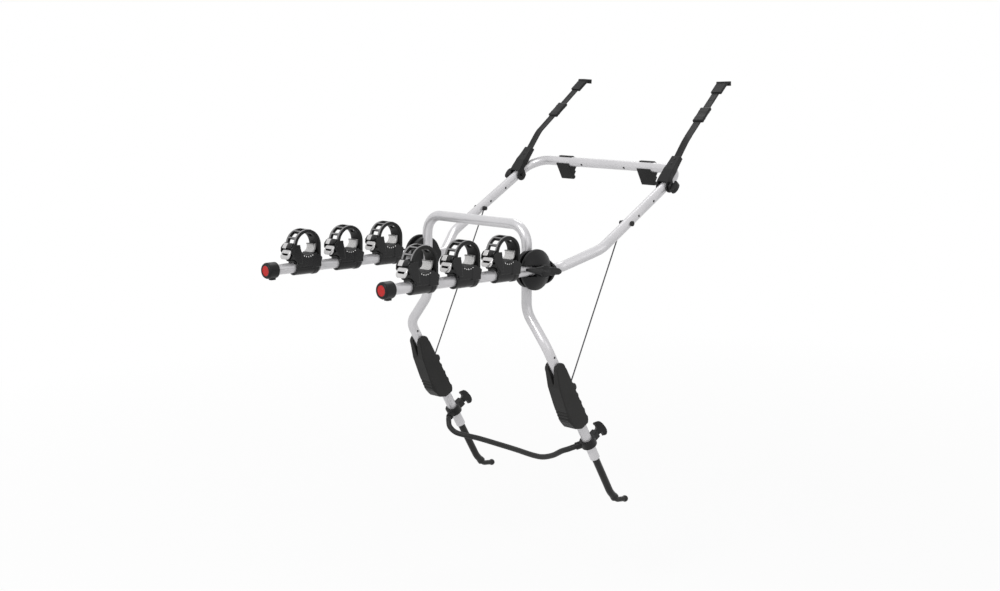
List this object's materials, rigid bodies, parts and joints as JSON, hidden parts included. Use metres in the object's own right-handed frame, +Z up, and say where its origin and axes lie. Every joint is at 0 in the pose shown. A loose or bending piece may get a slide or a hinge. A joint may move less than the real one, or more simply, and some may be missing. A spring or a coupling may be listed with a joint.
{
  "type": "trunk mounted bike rack",
  "caption": "Hatch bicycle carrier: bent silver tube frames on locking hubs, folding arms with strapped cradles, telescopic lower hooks and upper strap hooks",
  "frame": {"origin": "midway between the seats under the two upper hooks", "axes": "+X to the right seen from behind the car, +Y towards the car, +Z up"},
  "size_m": [0.5936, 1.1768, 1.0613],
  "materials": {
    "silver_paint": "smooth silver paint on steel tube",
    "bare_steel": "zinc plated",
    "black_steel": "black coated",
    "coated_steel": "thick matte black coating",
    "red_lens": "clear red with facets",
    "buckle_metal": "bright stamped metal",
    "grey_rubber": "soft grey pad",
    "black_rubber": "matte",
    "soft_black": "smooth soft strap",
    "black_plastic": "fine grained moulding"
  },
  "bodies": {
    "lower_frame": {"lower_frame": "silver_paint", "left_hub_base": "black_plastic", "right_hub_base": "black_plastic", "hub_bolts": "bare_steel", "left_grip": "black_plastic", "right_grip": "black_plastic", "left_leg_clamp": "black_plastic", "right_leg_clamp": "black_plastic", "hose": "black_rubber"},
    "upper_frame": {"upper_frame": "silver_paint", "left_hub_collar": "black_plastic", "right_hub_collar": "black_plastic", "crossbar_pads": "black_rubber", "wire_bolts": "black_steel", "wires": "bare_steel"},
    "left_arm": {"left_arm": "silver_paint", "left_end_cap": "black_plastic", "left_reflector": "red_lens", "left_hub_cover": "black_plastic", "left_cradle_pads": "grey_rubber", "left_cradle_pins": "bare_steel", "left_outer_cradle": "black_plastic", "left_middle_cradle": "black_plastic", "left_inner_cradle": "black_plastic"},
    "left_outer_strap": {"left_outer_strap": "soft_black"},
    "left_outer_lever": {"left_outer_lever": "buckle_metal"},
    "left_middle_strap": {"left_middle_strap": "soft_black"},
    "left_middle_lever": {"left_middle_lever": "buckle_metal"},
    "left_inner_strap": {"left_inner_strap": "soft_black"},
    "left_inner_lever": {"left_inner_lever": "buckle_metal"},
    "left_hub_knob": {"left_hub_knob": "black_plastic"},
    "left_hook_rod": {"left_hook_rod": "coated_steel"},
    "left_clamp_knob": {"left_clamp_knob": "black_plastic"},
    "left_strap_hook": {"left_strap_clip": "black_plastic", "left_hook_band": "soft_black", "left_top_hook": "black_rubber"},
    "left_clip_knob": {"left_clip_knob": "black_plastic"},
    "right_arm": {"right_arm": "silver_paint", "right_end_cap": "black_plastic", "right_reflector": "red_lens", "right_hub_cover": "black_plastic", "right_cradle_pads": "grey_rubber", "right_cradle_pins": "bare_steel", "right_outer_cradle": "black_plastic", "right_middle_cradle": "black_plastic", "right_inner_cradle": "black_plastic"},
    "right_outer_strap": {"right_outer_strap": "soft_black"},
    "right_outer_lever": {"right_outer_lever": "buckle_metal"},
    "right_middle_strap": {"right_middle_strap": "soft_black"},
    "right_middle_lever": {"right_middle_lever": "buckle_metal"},
    "right_inner_strap": {"right_inner_strap": "soft_black"},
    "right_inner_lever": {"right_inner_lever": "buckle_metal"},
    "right_hub_knob": {"right_hub_knob": "black_plastic"},
    "right_hook_rod": {"right_hook_rod": "coated_steel"},
    "right_clamp_knob": {"right_clamp_knob": "black_plastic"},
    "right_strap_hook": {"right_strap_clip": "black_plastic", "right_hook_band": "soft_black", "right_top_hook": "black_rubber"},
    "right_clip_knob": {"right_clip_knob": "black_plastic"}
  },
  "joints": [
    {"name": "upper_frame_fold", "type": "hinge", "parent": "lower_frame", "child": "upper_frame", "pos_m": [0, -0.67522, -0.42416], "axis": [1, 0, 0], "range_deg": [-70, 0], "deforming": ["wires"]},
    {"name": "left_arm_fold", "type": "hinge", "parent": "lower_frame", "child": "left_arm", "pos_m": [-0.204, -0.67522, -0.42416], "axis": [-1, 0, 0], "range_deg": [0, 90]},
    {"name": "left_outer_strap_open", "type": "hinge", "parent": "left_arm", "child": "left_outer_strap", "pos_m": [-0.204, -1.01243, -0.40025], "axis": [-1, 0, 0], "range_deg": [0, 45]},
    {"name": "left_outer_lever_lift", "type": "hinge", "parent": "left_arm", "child": "left_outer_lever", "pos_m": [-0.204, -1.09262, -0.3757], "axis": [-1, 0, 0], "range_deg": [0, 45]},
    {"name": "left_middle_strap_open", "type": "hinge", "parent": "left_arm", "child": "left_middle_strap", "pos_m": [-0.204, -0.88245, -0.40195], "axis": [-1, 0, 0], "range_deg": [0, 45]},
    {"name": "left_middle_lever_lift", "type": "hinge", "parent": "left_arm", "child": "left_middle_lever", "pos_m": [-0.204, -0.96263, -0.3774], "axis": [-1, 0, 0], "range_deg": [0, 45]},
    {"name": "left_inner_strap_open", "type": "hinge", "parent": "left_arm", "child": "left_inner_strap", "pos_m": [-0.204, -0.75246, -0.40365], "axis": [-1, 0, 0], "range_deg": [0, 45]},
    {"name": "left_inner_lever_lift", "type": "hinge", "parent": "left_arm", "child": "left_inner_lever", "pos_m": [-0.204, -0.83264, -0.3791], "axis": [-1, 0, 0], "range_deg": [0, 45]},
    {"name": "left_hub_knob_turn", "type": "hinge", "parent": "lower_frame", "child": "left_hub_knob", "pos_m": [-0.231, -0.67522, -0.42416], "axis": [1, 0, 0], "continuous": true},
    {"name": "left_hook_rod_slide", "type": "slide", "parent": "lower_frame", "child": "left_hook_rod", "axis": [0, 0.5075, -0.8616], "range_m": [-0.04, 0.06]},
    {"name": "left_clamp_knob_turn", "type": "hinge", "parent": "lower_frame", "child": "left_clamp_knob", "pos_m": [-0.24, -0.47988, -0.84128], "axis": [0, 0.8616, 0.5075], "continuous": true},
    {"name": "left_strap_hook_tilt", "type": "hinge", "parent": "upper_frame", "child": "left_strap_hook", "pos_m": [-0.257, -0.25744, -0.25048], "axis": [1, 0, 0], "range_deg": [-8, 8]},
    {"name": "left_clip_knob_turn", "type": "hinge", "parent": "left_strap_hook", "child": "left_clip_knob", "pos_m": [-0.285, -0.25744, -0.25048], "axis": [1, 0, 0], "continuous": true},
    {"name": "right_arm_fold", "type": "hinge", "parent": "lower_frame", "child": "right_arm", "pos_m": [0.204, -0.67522, -0.42416], "axis": [-1, 0, 0], "range_deg": [0, 90]},
    {"name": "right_outer_strap_open", "type": "hinge", "parent": "right_arm", "child": "right_outer_strap", "pos_m": [0.204, -1.01243, -0.40025], "axis": [-1, 0, 0], "range_deg": [0, 45]},
    {"name": "right_outer_lever_lift", "type": "hinge", "parent": "right_arm", "child": "right_outer_lever", "pos_m": [0.204, -1.09262, -0.3757], "axis": [-1, 0, 0], "range_deg": [0, 45]},
    {"name": "right_middle_strap_open", "type": "hinge", "parent": "right_arm", "child": "right_middle_strap", "pos_m": [0.204, -0.88245, -0.40195], "axis": [-1, 0, 0], "range_deg": [0, 45]},
    {"name": "right_middle_lever_lift", "type": "hinge", "parent": "right_arm", "child": "right_middle_lever", "pos_m": [0.204, -0.96263, -0.3774], "axis": [-1, 0, 0], "range_deg": [0, 45]},
    {"name": "right_inner_strap_open", "type": "hinge", "parent": "right_arm", "child": "right_inner_strap", "pos_m": [0.204, -0.75246, -0.40365], "axis": [-1, 0, 0], "range_deg": [0, 45]},
    {"name": "right_inner_lever_lift", "type": "hinge", "parent": "right_arm", "child": "right_inner_lever", "pos_m": [0.204, -0.83264, -0.3791], "axis": [-1, 0, 0], "range_deg": [0, 45]},
    {"name": "right_hub_knob_turn", "type": "hinge", "parent": "lower_frame", "child": "right_hub_knob", "pos_m": [0.231, -0.67522, -0.42416], "axis": [1, 0, 0], "continuous": true},
    {"name": "right_hook_rod_slide", "type": "slide", "parent": "lower_frame", "child": "right_hook_rod", "axis": [0, 0.5075, -0.8616], "range_m": [-0.04, 0.06]},
    {"name": "right_clamp_knob_turn", "type": "hinge", "parent": "lower_frame", "child": "right_clamp_knob", "pos_m": [0.24, -0.47988, -0.84128], "axis": [0, 0.8616, 0.5075], "continuous": true},
    {"name": "right_strap_hook_tilt", "type": "hinge", "parent": "upper_frame", "child": "right_strap_hook", "pos_m": [0.257, -0.25744, -0.25048], "axis": [1, 0, 0], "range_deg": [-8, 8]},
    {"name": "right_clip_knob_turn", "type": "hinge", "parent": "right_strap_hook", "child": "right_clip_knob", "pos_m": [0.285, -0.25744, -0.25048], "axis": [1, 0, 0], "continuous": true}
  ]
}
